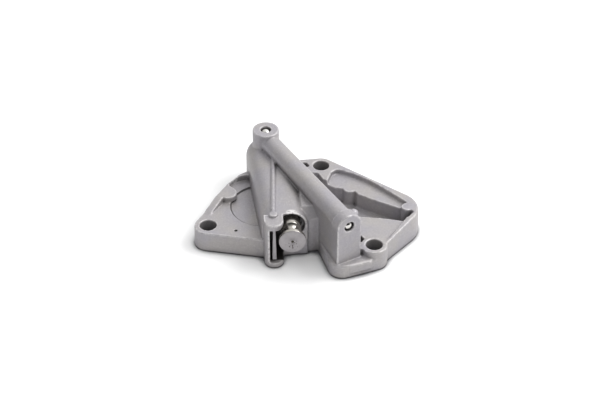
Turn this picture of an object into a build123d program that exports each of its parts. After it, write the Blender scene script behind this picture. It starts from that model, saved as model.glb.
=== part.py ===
from build123d import *
import os
from math import hypot, sqrt

# Hydraulic timing chain tensioner: a die-cast aluminium housing with a sliding steel plunger.
# The plunger slides along -Y. The mounting face is z = 0, and the origin is the left bolt hole there.
os.makedirs("parts", exist_ok=True)

# Bolt holes, seen from above
front_span = 87.2
front_drop = 23.5
back_offset = 22.2
back_reach = 44.5
left_bolt = (0.0, 0.0)
right_bolt = (front_span, -front_drop)
back_bolt = (front_span - back_offset, back_reach)
bolt_hole_d = 9.0
boss_r = 7.8
right_boss_r = 7.2
spot_face_r = 6.4
spot_face_rise = 0.2

# Plate levels above the mounting face
plate_top = 12.0
shelf_top = 12.6
rim_top = 15.4
foot_top = 8.5
deep_floor = 3.0
ramp_len = 13.4
rim_ramp_len = 20.0
draft = 0.5
edge_round = 0.9
edge_bevel = 0.55

# Oil gallery tube, tall boss and end block
plunger_x = front_span / 2
tall_boss = (plunger_x - 9.1, back_reach + 6.0)
tall_boss_r = 7.4
tall_boss_top = 37.6
skirt_r = 11.2
end_face = (right_bolt[0] - 14.2, right_bolt[1] - 7.7)
gallery_z = tall_boss_top - 6.6
tube_back_r = 5.3
tube_front_r = 5.9
web_half_w = 5.0
web_taper_len = 22.0
end_boss_r = 7.2
end_boss_len = 6.5
gallery_d = 5.0
ball_plug_d = 5.8
ball_sink = 0.3

# Plunger block
plunger_z = 20.2
block_front_y = -14.3
block_left_x = plunger_x - 14.8
block_right_x = plunger_x + 9.1
block_top = 28.4
flank_round = 8.6
corner_round = 4.0
corner_drop = 6.0
corner_len = 15.0
bore_len = 42.3
mouth_r = 7.5
mouth_depth = 3.4
chamber_len = 8.0
chamber_r = 3.8
feed_d = 3.0
port_d = 8.0
port_depth = 2.5

# Plunger
plunger_r = 6.0
bore_clearance = 0.04
nose_reach = 13.5
plunger_len = 35.8
head_r = 7.15
waist_r = 3.5
waist_back = 6.25
waist_curve = 4.2
neck_r = 5.35
edge_break = 0.3
plunger_bore_r = 4.1
plunger_bore_len = 18.0
vent_r = 0.5
vent_mouth_r = 0.9

# Travel stop ring
ring_wire_d = 1.0
ring_inset = 6.2
ring_clearance = 0.15
ring_gap = 40.0

# Check valve and springs
seat_t = 4.0
seat_hole_r = 1.6
check_ball_r = 2.0
check_lift = 0.8
check_spring_room = 1.4
cage_clearance = 0.15
cage_wall = 0.35
cage_flange_r = 5.2
cage_flange_t = 0.6
check_wire_d = 0.3
check_spring_r = 1.0
check_spring_turns = 2
spring_wire_d = 1.1
spring_r = 3.35
spring_turns = 6
vent_disc_t = 2.2
vent_disc_r = 4.0
face_gap = 0.02

# Ear with the lock lever
ear = (plunger_x - 9.3, block_front_y - 5.3)
ear_r = 5.1
lug_t = 3.4
ear_bar_t = 2.7
pocket_depth = 7.0
pocket_right_x = plunger_x - 3.6
pin_r = 0.6
pin_clearance = 0.05
press_clearance = 0.01
pin_len = 26.4
lever_hub_r = 1.2
lever_top_r = 0.95
lever_low_gap = 1.6
lever_top_gap = 0.3
blade_reach = 3.6
blade_high_reach = 2.6
blade_low_t = 2.1
blade_high_t = 1.2

# Crest bead and its boss
bead_r = 1.3
bead_back = (plunger_x - 6.0, 36.0)
bead_boss_r = 2.3
bead_boss_rise = 1.5
jet_d = 1.0

# Length of the cutting blocks, longer than the casting
cut_len = 120.0

# Pockets
recess_centre = (plunger_x - 12.6, 15.0)
recess_r = 18.2
recess_depth = 0.9
rim_pocket_r = 9.8
lobe_one = (back_bolt[0] + 14.4, back_bolt[1] - 18.1)
lobe_one_r = 3.9
right_end = (right_bolt[0] + 12.4, right_bolt[1] + 26.9)
right_end_r = 15.2
lobe_two = (right_end[0] + 8.8, right_end[1] + 0.2)
lobe_two_r = 3.3


def shift(a, b, k=1.0):
    return (a[0] + k * b[0], a[1] + k * b[1])


def outline(circles, z, inset=0):
    edges = [e for (x, y), r in circles for e in (Pos(x, y) * Circle(r - inset)).edges()]
    return Pos(0, 0, z) * make_hull(edges)


def hull(circles, low, high):
    return extrude(outline(circles, low), high - low)


def drafted(circles, high):
    # Cast walls that lean in by the draft and break at the top edge
    levels = [(0, 0), (high - edge_bevel, draft), (high, draft + edge_bevel)]
    return loft([outline(circles, z, inset) for z, inset in levels], ruled=True)


def soften(piece, level, radius):
    return fillet(piece.edges().filter_by_position(Axis.Z, level, level), radius)


def prism(points, low, high, radius=0.0):
    line = FilletPolyline(*points, radius=radius, close=True) if radius else Polyline(*points, close=True)
    return Pos(0, 0, low) * extrude(make_face(line), high - low)


def disc(centre, radius, low, high):
    return Pos(centre[0], centre[1], low) * extrude(Circle(radius), high - low)


def lathe(points, y0):
    # Turned about the plunger axis from radius and distance behind y0
    turned = revolve(make_face(Polyline(*points, close=True)), axis=Axis.Y)
    return Pos(plunger_x, y0, plunger_z) * turned


def coil(radius, wire, turns, y0, y1):
    # Open coil along the plunger axis, its wire kept between y0 and y1
    height = y1 - y0 - wire
    path = Helix(height / turns, height, radius)
    wire_face = Plane(origin=path @ 0, z_dir=path % 0) * Circle(wire / 2)
    return Pos(plunger_x, y0 + wire / 2, plunger_z) * (Rot(-90, 0, 0) * sweep(wire_face, path))


# Direction of the gallery tube, and points beside it measured back from its end face
run = (end_face[0] - tall_boss[0], end_face[1] - tall_boss[1])
tube_len = hypot(*run)
along = (run[0] / tube_len, run[1] / tube_len)
across = (-along[1], along[0])


def beside(back, side):
    return shift(shift(end_face, along, -back), across, side)


def on_tube(back):
    x, y = beside(back, 0)
    return Plane(origin=(x, y, gallery_z), x_dir=(*across, 0), z_dir=(*along, 0))


# Left lobe of the plate with a raised rim along its back edge, which ramps down to the bolt pad
left_lobe = [
    (left_bolt, boss_r),
    (shift(left_bolt, (16.7, 29.4)), 6.0),
    (shift(tall_boss, (-12.2, -15.1)), 6.2),
    (shift(tall_boss, (-8.5, -12.5)), 5.8),
    ((block_left_x + 1.2, block_front_y + 0.4), 1.9),
    ((block_right_x - 2.0, block_front_y + 2.0), 1.6),
]
edge_dir = (0.555, 0.832)
rim_band = prism(
    [
        shift(left_bolt, (1.0, 7.7)),
        shift(left_bolt, (16.6, 30.9)),
        shift(tall_boss, (-8.0, -10.0)),
        shift(tall_boss, (-14.5, -2.5)),
        shift(left_bolt, (-5.0, 32.0)),
        shift(left_bolt, (-12.0, 10.0)),
    ],
    plate_top,
    rim_top,
)
rim_band -= disc(shift(left_bolt, (22.5, 28.8)), rim_pocket_r, plate_top, rim_top)
rim_end = [(shift(left_bolt, (11.7, 23.6)), 5.0), (shift(left_bolt, (8.0, 28.0)), 5.0)]
rim_band += hull(rim_end, plate_top, rim_top)
ramp_plane = Plane(origin=(*left_bolt, plate_top), x_dir=(*edge_dir, 0), z_dir=(edge_dir[1], -edge_dir[0], 0))
ramp_rise = rim_top - plate_top
ramp_foot = 6.6
ramp_end = ramp_foot + ramp_len
ramp = Polyline((-20, 0), (ramp_foot, 0), (ramp_end, ramp_rise), (ramp_end, 9), (-20, 9), close=True)
rim_band -= ramp_plane * extrude(make_face(ramp), 30, both=True)
upwards = (Align.CENTER, Align.CENTER, Align.MIN)
above = Pos(*recess_centre, plate_top) * Box(cut_len, cut_len, rim_top, align=upwards)
left = drafted(left_lobe, rim_top)
left -= above - rim_band

# Round cast recess and a pin dimple in the left floor
left -= disc(recess_centre, recess_r, plate_top - recess_depth, rim_top) - rim_band
left -= disc(shift(left_bolt, (14.7, -5.8)), 1.0, plate_top - 0.6, rim_top)

# Right lobe, full height, then its shelf, platform and deep pockets
right_lobe = [
    (back_bolt, boss_r),
    (right_end, right_end_r),
    (shift(right_bolt, (2.4, -2.4)), 1.6),
    (beside(4.5, 5.5), 1.6),
    (beside(20.0, -3.4), 1.6),
    (shift(tall_boss, (4.0, -1.5)), 1.6),
]
right = drafted(right_lobe, rim_top)
shelf_back = [
    shift(back_bolt, (5.2, -6.7)),
    shift(back_bolt, (8.6, -4.0)),
    shift(back_bolt, (16.8, -8.6)),
    shift(back_bolt, (26.0, -16.1)),
    shift(right_end, (0.0, 15.1)),
    shift(right_end, (6.4, 7.4)),
    shift(right_end, (10.2, 2.4)),
]
shelf_front = [
    shift(right_end, (6.5, -0.5)),
    shift(right_end, (-12.0, -6.0)),
    beside(40.0, 6.0),
    shift(back_bolt, (2.6, -13.2)),
]
shelf = prism(
    shelf_back + shelf_front,
    shelf_top,
    rim_top,
    [2.5, 3.0, 12.0, 12.0, 9.0, 9.0, 1.5, 1.5, 1.0, 1.0, 1.0],
)
rim_line = [
    shift(right_end, (7.8, -8.2)),
    shift(right_bolt, (6.8, 2.6)),
    shift(right_bolt, (2.2, -2.5)),
    shift(right_bolt, (-2.0, -9.0)),
]
platform = prism(
    [shift(right_end, (4.3, 1.2))] + rim_line + [beside(0.0, 12.0), beside(0.0, 2.0), beside(50.0, 2.0)],
    plate_top,
    rim_top,
    [0.5, 1.5, 2.0, 2.0, 1.0, 0.5, 0.5, 0.5],
)
lobes = disc(lobe_one, lobe_one_r, 0, shelf_top) + disc(lobe_two, lobe_two_r, 0, rim_top)
deep = prism(
    [
        beside(77.0, 3.0),
        shift(back_bolt, (-2.4, -6.6)),
        shift(back_bolt, (-0.1, -12.6)),
        shift(back_bolt, (6.0, -17.3)),
        shift(lobe_one, (2.4, -2.4)),
        shift(lobe_one, (3.6, -5.8)),
        shift(lobe_one, (10.1, -10.7)),
        shift(lobe_two, (-4.3, 2.6)),
        shift(lobe_two, (-1.0, 1.5)),
        shift(lobe_two, (3.0, -4.6)),
        shift(right_end, (7.8, -9.0)),
        shift(right_end, (2.0, -6.9)),
        shift(right_end, (-7.0, -4.4)),
        shift(right_end, (-16.0, -2.7)),
        beside(36.0, 3.0),
    ],
    deep_floor,
    rim_top,
    [0.8, 1.5, 1.5, 1.0, 0.6, 0.6, 3.0, 1.5, 1.0, 1.2, 1.5, 2.0, 2.0, 2.0, 0.8],
)
back_pocket = prism(
    [shift(back_bolt, place) for place in ((-18.5, -0.7), (-6.0, -0.7), (-7.9, 3.6), (-19.0, 3.6))],
    deep_floor,
    rim_top,
    1.2,
)
right -= shelf + platform
right = right - (deep - lobes) - back_pocket
right += disc(lobe_two, lobe_two_r, deep_floor - 1, rim_top - 0.2)

# Right rim ramp down to the bolt pad
rim_dir = (0.717, 0.697)
rim_plane = Plane(origin=(*right_bolt, plate_top), x_dir=(*rim_dir, 0), z_dir=(rim_dir[1], -rim_dir[0], 0))
rim_ramp = Polyline(
    (-9, spot_face_rise),
    (ramp_foot, spot_face_rise),
    (ramp_foot + rim_ramp_len, ramp_rise),
    (ramp_foot + rim_ramp_len, 9),
    (-9, 9),
    close=True,
)
right -= rim_plane * extrude(make_face(rim_ramp), 9, both=True)

# Bolt bosses and the foot in front of the end block
plate = left + right
plate += disc(right_bolt, right_boss_r, 0, plate_top)
plate += disc(right_bolt, spot_face_r, plate_top - 1, plate_top + spot_face_rise)
foot = [
    (shift(end_face, (-3.3, 2.4)), 7.4),
    (right_bolt, right_boss_r + 0.1),
    (beside(21.0, -4.6), 1.0),
    (beside(10.0, 0.0), 1.0),
]
plate += soften(hull(foot, 0, foot_top), foot_top, edge_round)
plate += Pos(*shift(right_bolt, (-8.4, -9.0)), foot_top - 2.9) * Rot(0, 0, 15) * Box(12.4, 3.4, 5.2)

# Plunger block: its left flank and the skirt round the tall boss share one large cast radius
block = hull(
    [
        ((block_left_x + 0.6, block_front_y - 6), 0.6),
        ((block_right_x - 0.6, block_front_y - 6), 0.6),
        ((block_right_x - 0.6, block_front_y + 16), 0.6),
        (tall_boss, skirt_r),
    ],
    0,
    block_top,
)
right_of_tube = [beside(cut_len, 0), beside(cut_len, cut_len), beside(-cut_len, cut_len), beside(-cut_len, 0)]
block -= prism(right_of_tube, -1, block_top + 1)
before_front = (Align.CENTER, Align.MAX, Align.CENTER)
block -= Pos(plunger_x, block_front_y, block_top / 2) * Box(cut_len, cut_len, cut_len, align=before_front)
top_edges = block.edges().filter_by_position(Axis.Z, block_top, block_top)
left_edges = top_edges.filter_by(lambda e: e.center().X < block_left_x + 2 or e.geom_type == GeomType.CIRCLE)
block = fillet(left_edges, flank_round)
round_over = Box(cut_len, 2 * corner_len, cut_len, align=(Align.MIN, Align.CENTER, Align.MIN))
round_over -= Rot(90, 0, 0) * Cylinder(corner_round, cut_len)
block -= Pos(block_right_x - corner_round, block_front_y, block_top - corner_round) * round_over
skirt = soften(disc(tall_boss, skirt_r, 0, block_top), block_top, flank_round)
left_of_tube = [beside(cut_len, 0), beside(cut_len, -cut_len)]
left_of_tube += [beside(-cut_len, -cut_len), beside(-cut_len, 0)]
skirt -= prism(left_of_tube, -1, block_top + 1)
housing = plate + block + skirt
housing += soften(disc(tall_boss, tall_boss_r, 0, tall_boss_top), tall_boss_top, edge_round / 2)

# Web and half-round gallery tube, swelling into the end block
web = [
    beside(tube_len, -web_half_w),
    beside(web_taper_len, -web_half_w),
    beside(0, -end_boss_r),
    beside(0, end_boss_r),
    beside(end_boss_len, end_boss_r),
    beside(end_boss_len + 2, tube_front_r - 0.2),
    beside(tube_len, tube_back_r - 0.1),
]
housing += prism(web, 0, gallery_z)
downwards = (Align.CENTER, Align.CENTER, Align.MAX)
housing += on_tube(0) * Cone(tube_back_r, tube_front_r, tube_len, align=downwards)
housing += on_tube(0) * Cylinder(end_boss_r, end_boss_len, align=downwards)
nub = shift(beside(0, end_boss_r - 1.0), along, -end_boss_len)
housing += Pos(*nub, gallery_z + 3.6) * Sphere(3.0)
corner = [
    (block_right_x - 3, block_front_y + 1.8),
    (block_right_x + 2, block_front_y + 1.8),
    beside(web_taper_len, 0),
    (block_right_x - 3, 10),
]
corner_side = Polyline(
    (-2 * corner_len, 0),
    (-2 * corner_len, block_top),
    (0, block_top),
    (corner_drop, block_top - corner_drop),
    (corner_drop, 0),
    close=True,
)
corner_y = block_front_y + 1.8 + corner_drop
corner_plane = Plane(origin=(block_right_x, corner_y, 0), x_dir=(0, -1, 0), z_dir=(-1, 0, 0))
corner_slope = corner_plane * extrude(make_face(corner_side), cut_len, both=True)
housing += prism(corner, 0, block_top - 0.8) & corner_slope

# Ear: upper and lower lugs joined by a bar on the left
ear_full = hull([(ear, ear_r), (shift(ear, (0, 8)), ear_r)], 0, block_top)
behind_front = (Align.CENTER, Align.MIN, Align.CENTER)
ear_full -= Pos(ear[0], block_front_y, block_top / 2) * Box(cut_len, cut_len, cut_len, align=behind_front)
window_x = ear[0] - ear_r + ear_bar_t
window = Pos(window_x + 10, block_front_y - 10, block_top / 2) * Box(20, 20, block_top - 2 * lug_t)
housing += ear_full - window

# Pocket behind the window, open towards the counterbore
pocket_top = block_top - lug_t - 1.0
pocket_cuts = [
    (pocket_right_x, pocket_top, mouth_depth),
    (plunger_x - mouth_r + 0.3, pocket_top, pocket_depth),
    (pocket_right_x, plunger_z - mouth_r, pocket_depth),
]
for right_x, top_z, depth in pocket_cuts:
    size = (right_x - window_x, depth + 1, top_z - lug_t)
    housing -= Pos(window_x, block_front_y - 1, lug_t) * Box(*size, align=(Align.MIN, Align.MIN, Align.MIN))

# Crest bead ending in a small round boss with a jet dimple
bead_len = hypot(bead_back[0] - ear[0], bead_back[1] - ear[1] - 4)
bead_dir = ((ear[0] - bead_back[0]) / bead_len, (ear[1] + 4 - bead_back[1]) / bead_len)
bead_plane = Plane(origin=(*bead_back, block_top), z_dir=(*bead_dir, 0))
housing += bead_plane * extrude(Circle(bead_r), bead_len)
housing += Pos(*bead_back, block_top) * Sphere(bead_r)
bead_boss = shift(ear, (0, 4.1))
housing += disc(bead_boss, bead_boss_r, block_top - lug_t, block_top + bead_boss_rise)

# Narrow cast pocket between the end block and the right bolt boss
notch = [beside(12.0, 9.0), beside(11.4, 14.1), beside(7.6, 14.2), beside(6.4, 11.8), beside(6.8, 9.0)]
housing -= prism(notch, foot_top - 4, rim_top, 0.5)

# Drillings: bolt holes, plunger bore, its chamber, galleries and their ball plugs
bore_r = plunger_r + bore_clearance
for centre in (left_bolt, right_bolt, back_bolt):
    housing -= disc(centre, bolt_hole_d / 2, -1, rim_top + 1)
housing -= lathe(
    [
        (0, -nose_reach),
        (mouth_r, -nose_reach),
        (mouth_r, mouth_depth),
        (bore_r, mouth_depth),
        (bore_r, bore_len),
        (chamber_r, bore_len),
        (chamber_r, bore_len + chamber_len),
        (0, bore_len + chamber_len),
    ],
    block_front_y,
)
ring_groove_w = ring_wire_d + 2 * ring_clearance
ring_y = block_front_y + ring_inset
groove = Rot(90, 0, 0) * extrude(Circle(plunger_r + ring_wire_d / 2 + ring_clearance), ring_groove_w)
housing -= Pos(plunger_x, ring_y + ring_groove_w / 2, plunger_z) * groove
gallery_r = gallery_d / 2
ball_r = ball_plug_d / 2
plug_hole_r = ball_r + press_clearance
plug_depth = 2 * ball_r + ball_sink
housing -= disc(tall_boss, gallery_r, -1, tall_boss_top + 1)
housing -= disc(tall_boss, plug_hole_r, tall_boss_top - plug_depth, tall_boss_top + 1)
housing -= disc(tall_boss, port_d / 2, -1, port_depth)
housing -= on_tube(0) * Cylinder(gallery_r, tube_len, align=(Align.CENTER, Align.CENTER, Align.MAX))
housing -= on_tube(0) * Cylinder(plug_hole_r, plug_depth, align=(Align.CENTER, Align.CENTER, Align.MAX))
feed_y = block_front_y + bore_len + chamber_len / 2
housing -= disc((plunger_x, feed_y), feed_d / 2, -1, gallery_z)
housing -= disc(shift(bead_boss, (-0.6, 4.4)), jet_d / 2, block_top - 0.8, block_top + 5)
housing -= disc(ear, pin_r + press_clearance, -1, pin_len + 0.6)

# Ball plugs
top_ball = Pos(*tall_boss, tall_boss_top - ball_sink - ball_r) * Sphere(ball_r)
front_ball = on_tube(0) * Pos(0, 0, -ball_sink - ball_r) * Sphere(ball_r)

# Plunger with its flared head, slimmer neck, guide land, spring bore and vent
nose_y = block_front_y - nose_reach
land_start = ring_y + ring_wire_d / 2 + ring_clearance - nose_y
plunger = lathe(
    [
        (vent_r, vent_mouth_r - vent_r),
        (vent_mouth_r, 0),
        (head_r - edge_break, 0),
        (head_r, edge_break),
        (head_r, waist_back),
        (neck_r, waist_back),
        (neck_r, land_start),
        (plunger_r, land_start),
        (plunger_r, plunger_len - edge_break),
        (plunger_r - edge_break, plunger_len),
        (plunger_bore_r, plunger_len),
        (plunger_bore_r, plunger_len - plunger_bore_len),
        (vent_r, plunger_len - plunger_bore_len),
    ],
    nose_y,
)
waist_ring = Rot(90, 0, 0) * Torus(waist_r + waist_curve, waist_curve)
plunger -= Pos(plunger_x, nose_y + waist_back, plunger_z) * waist_ring

# Snap ring that the land meets at the end of the plunger's travel
ring_turn = Plane.XZ * CenterArc((0, 0), plunger_r, ring_gap / 2 - 90, 360 - ring_gap)
ring_section = Plane(origin=ring_turn @ 0, z_dir=ring_turn % 0) * Circle(ring_wire_d / 2)
retaining_ring = Pos(plunger_x, ring_y, plunger_z) * sweep(ring_section, ring_turn)

# Check valve at the bottom of the bore
seat_y = block_front_y + bore_len - seat_t - face_gap
check_seat = lathe([(seat_hole_r, 0), (plunger_r, 0), (plunger_r, seat_t), (seat_hole_r, seat_t)], seat_y)
ball_y = seat_y - sqrt(check_ball_r**2 - seat_hole_r**2) - face_gap
check_ball = Pos(plunger_x, ball_y, plunger_z) * Sphere(check_ball_r)
cage_in_r = check_ball_r + cage_clearance
cage_r = cage_in_r + cage_wall
cage_len = seat_y - face_gap - (ball_y - check_ball_r - check_lift - check_spring_room)
cage = lathe(
    [
        (0.8, 0),
        (cage_r, 0),
        (cage_r, cage_len - cage_flange_t),
        (cage_flange_r, cage_len - cage_flange_t),
        (cage_flange_r, cage_len),
        (cage_in_r, cage_len),
        (cage_in_r, cage_wall),
        (0.8, cage_wall),
    ],
    seat_y - face_gap - cage_len,
)
slot = Pos(plunger_x, ball_y - check_ball_r / 2, plunger_z)
cage -= slot * Box(3 * cage_r, check_ball_r, 1.4)
cage -= slot * Box(1.4, check_ball_r, 3 * cage_r)
cage_end_y = seat_y - face_gap - cage_len + cage_wall
ball_front = ball_y - sqrt(check_ball_r**2 - check_spring_r**2)
check_front = cage_end_y + face_gap
check_spring = coil(check_spring_r, check_wire_d, check_spring_turns, check_front, ball_front - 2 * face_gap)

# Vent disc and plunger spring
vent_y = nose_y + plunger_len - plunger_bore_len + face_gap
vent_side = [(vent_r, 0), (vent_disc_r, 0), (vent_disc_r, vent_disc_t), (vent_r, vent_disc_t)]
vent_disc = lathe(vent_side, vent_y)
spring_front = vent_y + vent_disc_t + face_gap
spring_back = seat_y - face_gap - cage_flange_t - face_gap
plunger_spring = coil(spring_r, spring_wire_d, spring_turns, spring_front, spring_back)

# Lock lever on its pivot pin, its blade pointing forwards and thicker towards the foot
lever_low = lug_t + lever_low_gap
lever_high = block_top - lug_t - lever_top_gap
lever = Pos(*ear, lever_low) * Cone(lever_hub_r, lever_top_r, lever_high - lever_low, align=upwards)
forwards = (Align.CENTER, Align.MAX)
blade_low = Pos(*ear, lever_low) * Rectangle(blade_low_t, blade_reach, align=forwards)
blade_high = Pos(*ear, lever_high) * Rectangle(blade_high_t, blade_high_reach, align=forwards)
lever += loft([blade_low, blade_high], ruled=True)
lever -= disc(ear, pin_r + pin_clearance, 0, block_top)
pivot_pin = disc(ear, pin_r, 0.3, pin_len)

pieces = {
    "housing": housing,
    "plunger": plunger,
    "plunger_spring": plunger_spring,
    "retaining_ring": retaining_ring,
    "vent_disc": vent_disc,
    "check_valve_seat": check_seat,
    "check_ball": check_ball,
    "check_ball_cage": cage,
    "check_spring": check_spring,
    "top_ball_plug": top_ball,
    "front_ball_plug": front_ball,
    "lock_lever": lever,
    "lever_pivot_pin": pivot_pin,
}
for name, piece in pieces.items():
    solids = piece.solids()
    export_step(solids[0] if len(solids) == 1 else piece, f"parts/{name}.step")
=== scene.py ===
import math
import bmesh
import bpy
from mathutils import Matrix, Vector


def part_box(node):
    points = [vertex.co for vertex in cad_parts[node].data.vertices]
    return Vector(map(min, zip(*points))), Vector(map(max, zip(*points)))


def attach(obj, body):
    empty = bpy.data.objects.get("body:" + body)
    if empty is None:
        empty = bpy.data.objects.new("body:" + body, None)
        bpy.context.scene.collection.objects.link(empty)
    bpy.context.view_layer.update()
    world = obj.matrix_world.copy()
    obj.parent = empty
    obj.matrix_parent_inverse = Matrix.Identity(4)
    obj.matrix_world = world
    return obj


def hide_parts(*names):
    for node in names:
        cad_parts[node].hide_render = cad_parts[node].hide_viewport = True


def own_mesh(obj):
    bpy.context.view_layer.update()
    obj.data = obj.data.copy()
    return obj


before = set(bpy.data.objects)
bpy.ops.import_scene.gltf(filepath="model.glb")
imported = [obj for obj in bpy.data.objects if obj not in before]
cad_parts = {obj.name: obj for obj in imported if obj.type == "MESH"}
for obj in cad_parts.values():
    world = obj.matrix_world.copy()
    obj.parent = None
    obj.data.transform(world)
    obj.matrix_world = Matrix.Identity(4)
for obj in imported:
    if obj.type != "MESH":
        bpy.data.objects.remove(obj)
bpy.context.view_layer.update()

print("stage: helpers")

plainMix = {"data_type": "RGBA", "blend_type": "MIX"}  # colour inputs 6 and 7, colour output 2
timesMix = {"data_type": "RGBA", "blend_type": "MULTIPLY"}


def mm(value):
    return value / 1000


def metres(point):
    return Vector([mm(value) for value in point])


def linear(hexColour):
    # sRGB hex to linear red, green, blue and alpha
    out = []
    for i in (0, 2, 4):
        c = int(hexColour[i:i + 2], 16) / 255
        out.append(c / 12.92 if c <= 0.04045 else ((c + 0.055) / 1.055) ** 2.4)
    return (*out, 1)


def grey(value):
    return (value, value, value, 1)


def perMm(size):
    # texture scale for a pattern of this size in mm, on coordinates in metres
    return 1000 / size


def feed(tree, node, inputs):
    # sets a node's inputs, or links them where the value is another node's output
    for name, value in inputs.items():
        if isinstance(value, bpy.types.NodeSocket):
            tree.links.new(value, node.inputs[name])
        else:
            node.inputs[name].default_value = value


def addNode(tree, kind, inputs=None, settings=None, stops=None, out=0):
    # adds a node with its inputs, settings and the two stops of a ramp, and gives one of its outputs
    node = tree.nodes.new("ShaderNode" + kind)
    for name, value in (settings or {}).items():
        setattr(node, name, value)
    feed(tree, node, inputs or {})
    if stops:
        for element, (at, colour) in zip(node.color_ramp.elements, stops):
            element.position = at
            element.color = colour if isinstance(colour, tuple) else grey(colour)
    return node.outputs[out]


def patches(tree, where, look):
    # random patches of a size in mm, their edges drawn by the stops
    size, detail, rough, stops = look
    field = addNode(
        tree,
        "TexNoise",
        {"Vector": where, "Scale": perMm(size), "Detail": detail, "Roughness": rough},
        out="Fac",
    )
    return addNode(tree, "ValToRGB", {"Fac": field}, stops=stops)


def relief(tree, where, look):
    # a grain of a size in mm standing up to a depth in mm, as a normal
    size, detail, rough, strength, depth = look
    field = addNode(
        tree,
        "TexNoise",
        {"Vector": where, "Scale": perMm(size), "Detail": detail, "Roughness": rough},
        out="Fac",
    )
    return addNode(tree, "Bump", {"Strength": strength, "Distance": mm(depth), "Height": field})


def allOf(tree, *masks):
    # masks and plain shares multiplied together
    out = masks[0]
    for mask in masks[1:]:
        out = addNode(tree, "Math", {0: out, 1: mask}, {"operation": "MULTIPLY"})
    return out


def inside(tree, axes, box):
    # 1 in the box given as (low, high) in mm along x, y and z
    hits = []
    for source, (low, high) in zip(axes, box):
        middle = mm((low + high) / 2)
        half = mm((high - low) / 2)
        hits.append(addNode(tree, "Math", {0: source, 1: middle, 2: half}, {"operation": "COMPARE"}))
    return allOf(tree, *hits)


def newMaterial(name):
    material = bpy.data.materials.new(name)
    material.use_nodes = True
    tree = material.node_tree
    shader = tree.nodes["Principled BSDF"]
    where = addNode(tree, "TexCoord", out="Object")
    return material, tree, shader, where


def addPiece(name, mesh):
    piece = bpy.data.objects.new(name, mesh)
    bpy.context.scene.collection.objects.link(piece)
    return piece


print("stage: die-cast housing")

castLook = {
    "voxel": 0.40,  # mm, finest detail of the cast skin
    "quickVoxel": 2,
    "weld": 0.002,  # mm
    "passes": 4,  # smoothing that rolls the edges over
    "pull": 0.5,
    "triangles": 185000,
    "lumps": [((75.8, -23.4, 33.7), 2.5)],  # mm, place and radius of the flash on the gallery tube's end
    # mm, place, size and turn of the wall that closes the pressure chamber's right side
    "walls": [((46.36, 35.29, 20.2), (1.2, 6, 8), 25.2)],
    "cool": "a19ea3",
    "warm": "a7a3a2",
    # lighter tone for worn edges and random flecks of wear, on the edges also a painted highlight
    "wearAndHighlight": "dedcdb",
    # painted shade in deep pockets
    "pocketShade": "4a4745",
    # painted shade in corners, creases, hollows, holes and along the lower edge
    "creviceShade": "3f3d3c",
    # darkest painted shade, in the boxes behind the lock lever, on its lug and in the pin dimple
    "darkestShade": "2b2a28",
    "metal": 0.34,
    "rough": 0.44,
    # patterns: size in mm, detail, roughness and stops
    "mottle": (14, 4, 0.5, [(0.38, 0.0), (0.62, 1.0)]),
    "specks": (1.1, 2, 0.6, [(0.40, 0.86), (0.56, 1.0)]),
    "specksShare": 0.55,
    "wearBreak": (2.4, 3, 0.5, [(0.36, 0.0), (0.54, 1.0)]),
    "fleck": (0.8, 1.5, 0.5, [(0.60, 0.0), (0.70, 0.16)]),
    # grain: size in mm, detail, roughness, strength and depth in mm
    # a real one is near 0.1 mm, drawn coarser so that it shows
    "grain": (0.55, 3, 0.6, 0.7, 0.12),
    # openness of the surface: reach in mm, then the mask from shut to open
    # rim: mask of edges, lighter for wear and for a painted highlight
    "rim": (1.1, [(0.64, 0.95), (0.94, 0.0)]),
    # deep: mask of painted shade in pockets
    "deep": (9, [(0.24, 1.0), (0.56, 0.0)]),
    "deepShare": 0.75,
    # corner: mask of painted shade in corners and creases
    "corner": (1.8, [(0.40, 0.85), (0.74, 0.0)]),
    "openSamples": 6,
    "hollow": [(0.44, 0.7), (0.485, 0.0)],  # painted shade in hollows, mask from hollow to flat
    "lowerEdgeShade": (0.3, 1.3, 0.8),  # painted shade along the lower edge: mm, from and to above the mounting face, and its share
    "shadeBoxes": [  # boxes in mm of painted shade: behind the lock lever, on the lug under it, in the pin dimple
        ((30.5, 41), (-13.6, -4), (0, 24)),
        ((31, 39.7), (-21.8, -13.6), (2.6, 5)),
        ((13.2, 16.2), (-7.3, -4.3), (8, 11.85)),
    ],
    "ring": {  # mm, painted shade in the corner of the round recess
        "centre": (31, 15, 11.5),
        "radius": 18.15,
        "half": 0.42,
        "box": ((11.85, 28), (-4.15, 34.15), (10.8, 12.15)),
        "share": 0.75,
    },
    # mm, x, y and top of the bolt holes, darkened inside with painted shade
    "bores": [(0, 0, 11.3), (87.2, -23.5, 11.5), (65, 44.5, 14.7)],
    "boreHalf": 4.7,
    "boreShare": 0.3,
}


def openness(tree, look, name, settings=None):
    # a mask from how open the surface lies within a reach in mm
    reach, stops = look[name]
    shade = addNode(
        tree,
        "AmbientOcclusion",
        {"Distance": mm(reach)},
        {"samples": look["openSamples"], **(settings or {})},
        out="AO",
    )
    return addNode(tree, "ValToRGB", {"Fac": shade}, stops=stops)


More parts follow.
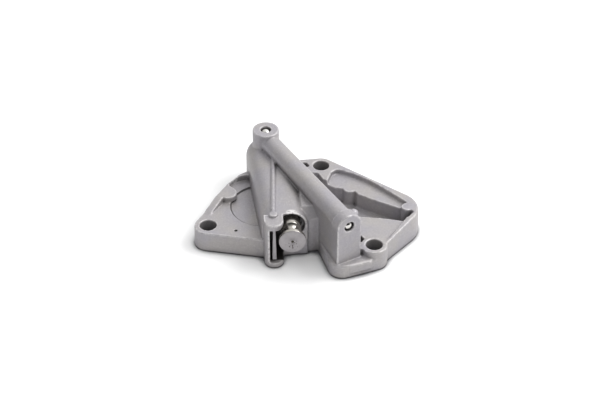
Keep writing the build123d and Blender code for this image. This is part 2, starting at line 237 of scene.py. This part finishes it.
def castAluminium(look):
    # die-cast aluminium, as cast: matt, a little mottled, bright on worn edges where a painted highlight
    # adds to the wear, with painted shade in pockets, corners, hollows, holes and along the lower edge
    material, tree, shader, where = newMaterial("dieCastAluminium")
    axes = addNode(tree, "SeparateXYZ", {"Vector": where}).node.outputs
    mottle = patches(tree, where, look["mottle"])
    specks = patches(tree, where, look["specks"])
    tints = {0: mottle, 6: linear(look["cool"]), 7: linear(look["warm"])}
    colour = addNode(tree, "Mix", tints, plainMix, out=2)
    colour = addNode(tree, "Mix", {0: look["specksShare"], 6: colour, 7: specks}, timesMix, out=2)

    # edges, lighter for wear and for a painted highlight
    rim = openness(tree, look, "rim", {"inside": True})
    pointed = addNode(tree, "NewGeometry", out="Pointiness")
    # painted shade towards the lower edge
    low, high, share = look["lowerEdgeShade"]
    lowerEdgeShade = addNode(
        tree,
        "MapRange",
        {"Value": axes["Z"], "From Min": mm(low), "From Max": mm(high), "To Min": share, "To Max": 0.0},
    )
    # layers over the tone: wear with a painted highlight on edges, flecks of wear, then painted shade in
    # pockets, corners, hollows and along the lower edge
    wearAndShadeLayers = [
        (allOf(tree, rim, patches(tree, where, look["wearBreak"])), "wearAndHighlight"),
        (patches(tree, where, look["fleck"]), "wearAndHighlight"),
        (allOf(tree, openness(tree, look, "deep"), look["deepShare"]), "pocketShade"),
        (openness(tree, look, "corner"), "creviceShade"),
        (addNode(tree, "ValToRGB", {"Fac": pointed}, stops=look["hollow"]), "creviceShade"),
        (lowerEdgeShade, "creviceShade"),
    ]
    # painted shade in the boxes behind the lock lever, on its lug and in the pin dimple
    for box in look["shadeBoxes"]:
        wearAndShadeLayers.append((inside(tree, axes, box), "darkestShade"))
    # painted shade in the corner of the round recess
    ring = look["ring"]
    spread = addNode(
        tree,
        "VectorMath",
        {0: where, 1: metres(ring["centre"])},
        {"operation": "DISTANCE"},
        out="Value",
    )
    ringShade = addNode(
        tree,
        "Math",
        {0: spread, 1: mm(ring["radius"]), 2: mm(ring["half"])},
        {"operation": "COMPARE"},
    )
    wearAndShadeLayers.append((allOf(tree, ringShade, inside(tree, axes, ring["box"]), ring["share"]), "creviceShade"))
    # painted shade inside the bolt holes
    half = look["boreHalf"]
    for x, y, top in look["bores"]:
        bore = inside(tree, axes, ((x - half, x + half), (y - half, y + half), (0, top)))
        wearAndShadeLayers.append((allOf(tree, bore, look["boreShare"]), "creviceShade"))
    for mask, tint in wearAndShadeLayers:
        colour = addNode(tree, "Mix", {0: mask, 6: colour, 7: linear(look[tint])}, plainMix, out=2)

    feed(tree, shader, {
        "Base Color": colour,
        "Metallic": look["metal"],
        "Roughness": look["rough"],
        "Normal": relief(tree, where, look["grain"]),
    })
    return material


def castSkin(node, look):
    # soft-edged copy of the casting, remeshed so that its edges roll over like a real one's
    skin = addPiece("castHousing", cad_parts[node].data.copy())
    build = bmesh.new()
    build.from_mesh(skin.data)
    for place, radius in look["lumps"]:
        where = Matrix.Translation(metres(place))
        bmesh.ops.create_icosphere(build, subdivisions=3, radius=mm(radius), matrix=where)
    for place, size, turn in look["walls"]:
        turned = Matrix.Translation(metres(place)) @ Matrix.Rotation(math.radians(turn), 4, "Z")
        bmesh.ops.create_cube(build, size=1, matrix=turned @ Matrix.Diagonal([*metres(size), 1]))
    build.to_mesh(skin.data)
    build.free()
    weld = skin.modifiers.new("weld", "WELD")
    weld.merge_threshold = mm(look["weld"])
    cells = skin.modifiers.new("cells", "REMESH")
    cells.mode = "VOXEL"
    cells.voxel_size = mm(look["voxel"] * (1))
    cells.use_smooth_shade = True
    rounding = skin.modifiers.new("rounding", "SMOOTH")
    rounding.factor = look["pull"]
    rounding.iterations = look["passes"]
    bpy.context.view_layer.update()
    full = skin.evaluated_get(bpy.context.evaluated_depsgraph_get())
    count = sum(len(face.vertices) - 2 for face in full.data.polygons)
    thin = skin.modifiers.new("thin", "DECIMATE")
    thin.ratio = min(1.0, look["triangles"] / count)
    skin.data.materials.clear()
    skin.data.materials.append(castAluminium(look))
    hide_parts(node)
    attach(skin, "housing_body")


castSkin("housing", castLook)

print("stage: turned plunger")

plungerLook = {
    "axis": (43.6, 20.2),  # mm, x and z of the bore
    "face": -27.8,  # mm along y
    "faceDepth": 0.12,  # mm, how far behind the face its matt finish reaches
    # radius and depth behind the face in mm, from the centre hole over the flared head
    "head": [
        (0.5, 6.0), (0.5, 0.45), (0.9, 0.02), (6.95, 0.0),
        (7.08, 0.06), (7.14, 0.2), (7.15, 1.9), (7.12, 2.1),
    ],
    "waist": {"centre": (7.7, 6.25), "radius": 4.2, "from": -73, "to": 54, "steps": 24},
    # neck, guide land, rear edge and spring bore
    "rear": [
        (5.3, 9.78), (5.35, 9.95), (5.35, 20.0), (5.4, 20.35), (5.96, 20.36), (6.0, 20.42),
        (6.0, 35.5), (5.7, 35.8), (4.1, 35.8), (4.1, 17.8), (0.5, 17.8), (0.5, 12.0),
    ],
    "segments": 128,
    "steel": "b7b3ad",
    "faceColour": "a8a4a6",
    "pitColour": "4c4744",
    "metal": 0.95,
    "rough": 0.2,
    "faceRough": 0.48,
    "smear": (3.0, 4, 0.6, [(0.35, 0.84), (0.65, 1.0)]),  # size in mm, detail, roughness and stops
    "smearShare": 0.8,
    "pits": (0.9, 1.5, 0.5, [(0.585, 0.0), (0.63, 1.0)]),
    "pitsDrop": 2.6,  # mm, the pits' middle below the axis
    "pitsReach": (2.2, 4.4),  # mm, where they thin out and end
    "rings": 0.35,  # mm between turning marks, coarser than real ones so that they show
    "ringsPeriod": 6.28,  # the wave pattern's own
    "ringsWobble": (0.6, 2.0),  # distortion and detail
    "ringsBump": (0.12, 0.02),  # strength, and depth in mm
}


def lathe(name, look):
    # closed turned body about an axis along y
    x, z = look["axis"]
    count = look["segments"] // 1
    waist = look["waist"]
    sweep = waist["to"] - waist["from"]
    profile = list(look["head"])
    for i in range(waist["steps"] + 1):
        t = math.radians(waist["from"] + sweep * i / waist["steps"])
        radius = waist["centre"][0] - waist["radius"] * math.cos(t)
        depth = waist["centre"][1] + waist["radius"] * math.sin(t)
        profile.append((radius, depth))
    profile += look["rear"]
    verts = []
    for radius, depth in profile:
        for i in range(count):
            a = 2 * math.pi * i / count
            verts.append(metres((x + radius * math.cos(a), look["face"] + depth, z + radius * math.sin(a))))
    faces = []
    for j in range(len(profile)):
        k = (j + 1) % len(profile)
        for i in range(count):
            n = (i + 1) % count
            faces.append((j * count + i, j * count + n, k * count + n, k * count + i))
    mesh = bpy.data.meshes.new(name)
    mesh.from_pydata(verts, [], faces)
    mesh.update()
    mesh.polygons.foreach_set("use_smooth", [True] * len(mesh.polygons))
    return addPiece(name, mesh)


def groundSteel(look):
    # hardened steel, turned and ground: bright with fine rings, its face matt with a few pits
    material, tree, shader, where = newMaterial("groundSteel")
    x, z = look["axis"]
    along = addNode(tree, "SeparateXYZ", {"Vector": where}, out="Y")
    isFace = addNode(
        tree,
        "Math",
        {0: along, 1: mm(look["face"] + look["faceDepth"])},
        {"operation": "LESS_THAN"},
    )
    colours = {0: isFace, 6: linear(look["steel"]), 7: linear(look["faceColour"])}
    colour = addNode(tree, "Mix", colours, plainMix, out=2)
    smear = patches(tree, where, look["smear"])
    colour = addNode(tree, "Mix", {0: look["smearShare"], 6: colour, 7: smear}, timesMix, out=2)
    spread = addNode(
        tree,
        "VectorMath",
        {0: where, 1: metres((x, look["face"], z - look["pitsDrop"]))},
        {"operation": "DISTANCE"},
        out="Value",
    )
    full, end = look["pitsReach"]
    near = addNode(
        tree,
        "MapRange",
        {"Value": spread, "From Min": mm(full), "From Max": mm(end), "To Min": 1.0, "To Max": 0.0},
    )
    pits = allOf(tree, patches(tree, where, look["pits"]), near, isFace)
    colour = addNode(tree, "Mix", {0: pits, 6: colour, 7: linear(look["pitColour"])}, plainMix, out=2)
    roughs = {0: isFace, 6: grey(look["rough"]), 7: grey(look["faceRough"])}
    scale = perMm(look["rings"]) / look["ringsPeriod"]
    wobble, detail = look["ringsWobble"]
    rings = addNode(
        tree,
        "TexWave",
        {"Vector": where, "Scale": scale, "Distortion": wobble, "Detail": detail},
        {"wave_type": "BANDS", "bands_direction": "Y"},
        out="Fac",
    )
    strength, depth = look["ringsBump"]
    feed(tree, shader, {
        "Base Color": colour,
        "Metallic": look["metal"],
        "Roughness": addNode(tree, "Mix", roughs, plainMix, out=2),
        "Normal": addNode(tree, "Bump", {"Strength": strength, "Distance": mm(depth), "Height": rings}),
    })
    return material


plunger = lathe("turnedPlunger", plungerLook)
plunger.data.materials.append(groundSteel(plungerLook))
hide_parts("plunger")
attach(plunger, "plunger_body")

print("stage: balls, lever and inner pieces")

steelLook = {  # colour, roughness and how much handling shows
    "polishedBallSteel": ("dcdad6", 0.07, 0.0),
    "drawnSpringWire": ("8d8b8c", 0.3, 0.25),
    "stampedSteel": ("a5a3a5", 0.42, 0.35),
    "hardenedSeatSteel": ("aaa7a3", 0.25, 0.3),
}
steelSurface = {
    "marksSize": 1.6,  # mm
    "marksDepth": 0.3,  # share of the colour that full handling takes away
    "grainSize": 0.4,  # mm, coarser than a real one so that it shows
    "grainDepth": 0.02,  # mm
    "grain": (0.1, 0.2),  # strength on clean steel, and what full handling adds
}


def plainSteel(name, surface):
    # steel from mirror-polished to stamped: sharp reflections on balls, soft and marked ones on sheet
    hexColour, rough, marks = steelLook[name]
    material, tree, shader, where = newMaterial(name)
    stops = [(0.35, 1 - surface["marksDepth"] * marks), (0.6, 1.0)]
    mark = patches(tree, where, (surface["marksSize"], 4, 0.6, stops))
    strength = surface["grain"][0] + surface["grain"][1] * marks
    feed(tree, shader, {
        "Base Color": addNode(tree, "Mix", {0: 1.0, 6: linear(hexColour), 7: mark}, timesMix, out=2),
        "Metallic": 1.0,
        "Roughness": rough,
        "Normal": relief(tree, where, (surface["grainSize"], 2, 0.5, strength, surface["grainDepth"])),
    })
    return material


steels = {name: plainSteel(name, steelSurface) for name in steelLook}

ballLook = {
    "segments": 64,
    "rings": 32,
    "share": 0.999,  # of the solid's diameter
    "bodies": {
        "top_ball_plug": "housing_body",
        "front_ball_plug": "housing_body",
        "check_ball": "check_ball_body",
    },
}
for node, body in ballLook["bodies"].items():
    low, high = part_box(node)
    bpy.ops.mesh.primitive_uv_sphere_add(
        segments=ballLook["segments"],
        ring_count=ballLook["rings"],
        radius=(high.x - low.x) / 2 * ballLook["share"],
        location=(low + high) / 2,
    )
    ball = bpy.context.object
    ball.name = node + "Ball"
    bpy.ops.object.shade_smooth()
    ball.data.materials.append(steels["polishedBallSteel"])
    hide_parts(node)
    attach(ball, body)

springLook = {
    "plunger_spring": ("plunger_slide", 13.8, 1),  # joint, its travel in mm, 1 where the back end is held
    "check_spring": ("check_ball_lift", 0.8, 0),
}
for node, (joint, travel, held) in springLook.items():
    # copy of the coil in drawn spring wire, hung on the housing
    spring = addPiece(node + "Coil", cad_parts[node].data.copy())
    spring.data.materials.clear()
    spring.data.materials.append(steels["drawnSpringWire"])
    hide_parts(node)
    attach(spring, "housing_body")
    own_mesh(spring)

finishes = {
    "retaining_ring": "drawnSpringWire",
    "vent_disc": "stampedSteel",
    "check_ball_cage": "stampedSteel",
    "lock_lever": "stampedSteel",
    "check_valve_seat": "hardenedSeatSteel",
    "lever_pivot_pin": "hardenedSeatSteel",
}
for node, name in finishes.items():
    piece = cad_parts[node]
    piece.data.materials.clear()
    piece.data.materials.append(steels[name])

print("stage: camera, light and floor")

viewLook = {
    "place": (-0.001762, -0.652853, 0.533981),  # m
    "pitch": 52.2,
    "turn": -4.5,
    "lens": 93.0,  # mm
    "sensor": 36,
    "near": 0.01,  # m
    "sky": 1.4,
    "skyTop": "ffffff",
    "skySide": "b0b1b5",
    "skyHeight": 0.55,  # share of the way up at which the top colour is reached
    "skyLeft": (0.35, -0.9, 0.3),  # brightness at the left, and from where to where it rises
    "skyFront": (0.05, -0.5, 0.1),  # the same in front, in reflections only
    "key": 1.9,  # W
    "keyPlace": (0.42, 0.06, 0.50),
    "keySize": 0.34,
    "keyAim": (0.05, 0, 0),
}

scene = bpy.context.scene
camera = addPiece("camera", bpy.data.cameras.new("camera"))
camera.location = viewLook["place"]
camera.rotation_euler = (math.radians(viewLook["pitch"]), 0, math.radians(viewLook["turn"]))
camera.data.sensor_width = viewLook["sensor"]
camera.data.lens = viewLook["lens"]
camera.data.clip_start = viewLook["near"]
scene.camera = camera
scene.view_settings.view_transform = "Standard"
scene.view_settings.look = "None"

# darker on the left, and dark in front for reflections, as a studio with its lamp on the right is
world = bpy.data.worlds.new("studio")
scene.world = world
world.use_nodes = True
sky = world.node_tree
rays = addNode(sky, "LightPath").node.outputs
skyWhere = addNode(sky, "TexCoord", out="Generated")
skyAxes = addNode(sky, "SeparateXYZ", {"Vector": skyWhere}).node.outputs
skyStops = [(0.0, linear(viewLook["skySide"])), (viewLook["skyHeight"], linear(viewLook["skyTop"]))]
skyColour = addNode(sky, "ValToRGB", {"Fac": skyAxes["Z"]}, stops=skyStops)
shades = []
for axis, name in (("X", "skyLeft"), ("Y", "skyFront")):
    dark, low, high = viewLook[name]
    limits = {"Value": skyAxes[axis], "From Min": low, "From Max": high, "To Min": dark, "To Max": 1.0}
    shades.append(addNode(sky, "MapRange", limits))
skyColour = addNode(sky, "Mix", {0: 1.0, 6: skyColour, 7: shades[0]}, timesMix, out=2)
skyGloss = addNode(sky, "Mix", {0: 1.0, 6: skyColour, 7: shades[1]}, timesMix, out=2)
skyColour = addNode(sky, "Mix", {0: rays["Is Glossy Ray"], 6: skyColour, 7: skyGloss}, plainMix, out=2)
skyColour = addNode(sky, "Mix", {0: rays["Is Camera Ray"], 6: skyColour, 7: grey(1)}, plainMix, out=2)
feed(sky, sky.nodes["Background"], {"Color": skyColour, "Strength": viewLook["sky"]})

keyData = bpy.data.lights.new("softBox", "AREA")
keyData.energy = viewLook["key"]
keyData.size = viewLook["keySize"]
key = addPiece("softBox", keyData)
key.location = viewLook["keyPlace"]
key.rotation_euler = (Vector(viewLook["keyAim"]) - key.location).to_track_quat("-Z", "Y").to_euler()

paperLook = {
    "size": 6,  # m
    "place": (0.05, 0.8, -0.00003),
    "tone": (40, 2, 0.5, [(0.3, 0.95), (0.7, 0.97)]),  # size in mm, detail, roughness and stops
    "contact": (5, [(0.42, linear("5c5b60")), (0.80, 1.0)]),  # mm, and the soft shadow where the part rests
    "contactSamples": 8,
    "bounce": 0.86,  # how much of its light the paper sends back
    "rough": 0.9,
}


def whitePaper(look):
    # matt seamless paper: white to the eye, with a soft shadow where the part rests on it
    material, tree, shader, where = newMaterial("whitePaper")
    reach, stops = look["contact"]
    shade = addNode(
        tree,
        "AmbientOcclusion",
        {"Distance": mm(reach)},
        {"samples": look["contactSamples"]},
        out="AO",
    )
    contact = addNode(tree, "ValToRGB", {"Fac": shade}, stops=stops)
    tone = patches(tree, where, look["tone"])
    tone = addNode(tree, "Mix", {0: 1.0, 6: tone, 7: contact}, timesMix, out=2)
    dim = addNode(tree, "Mix", {0: 1.0, 6: tone, 7: grey(look["bounce"])}, timesMix, out=2)
    seen = addNode(tree, "LightPath", out="Is Camera Ray")
    feed(tree, shader, {
        "Base Color": addNode(tree, "Mix", {0: seen, 6: dim, 7: tone}, plainMix, out=2),
        "Roughness": look["rough"],
        "Specular IOR Level": 0.0,
    })
    return material


bpy.ops.mesh.primitive_plane_add(size=paperLook["size"], location=paperLook["place"])
floor = bpy.context.object
floor.name = "paperSweep"
floor.data.materials.append(whitePaper(paperLook))
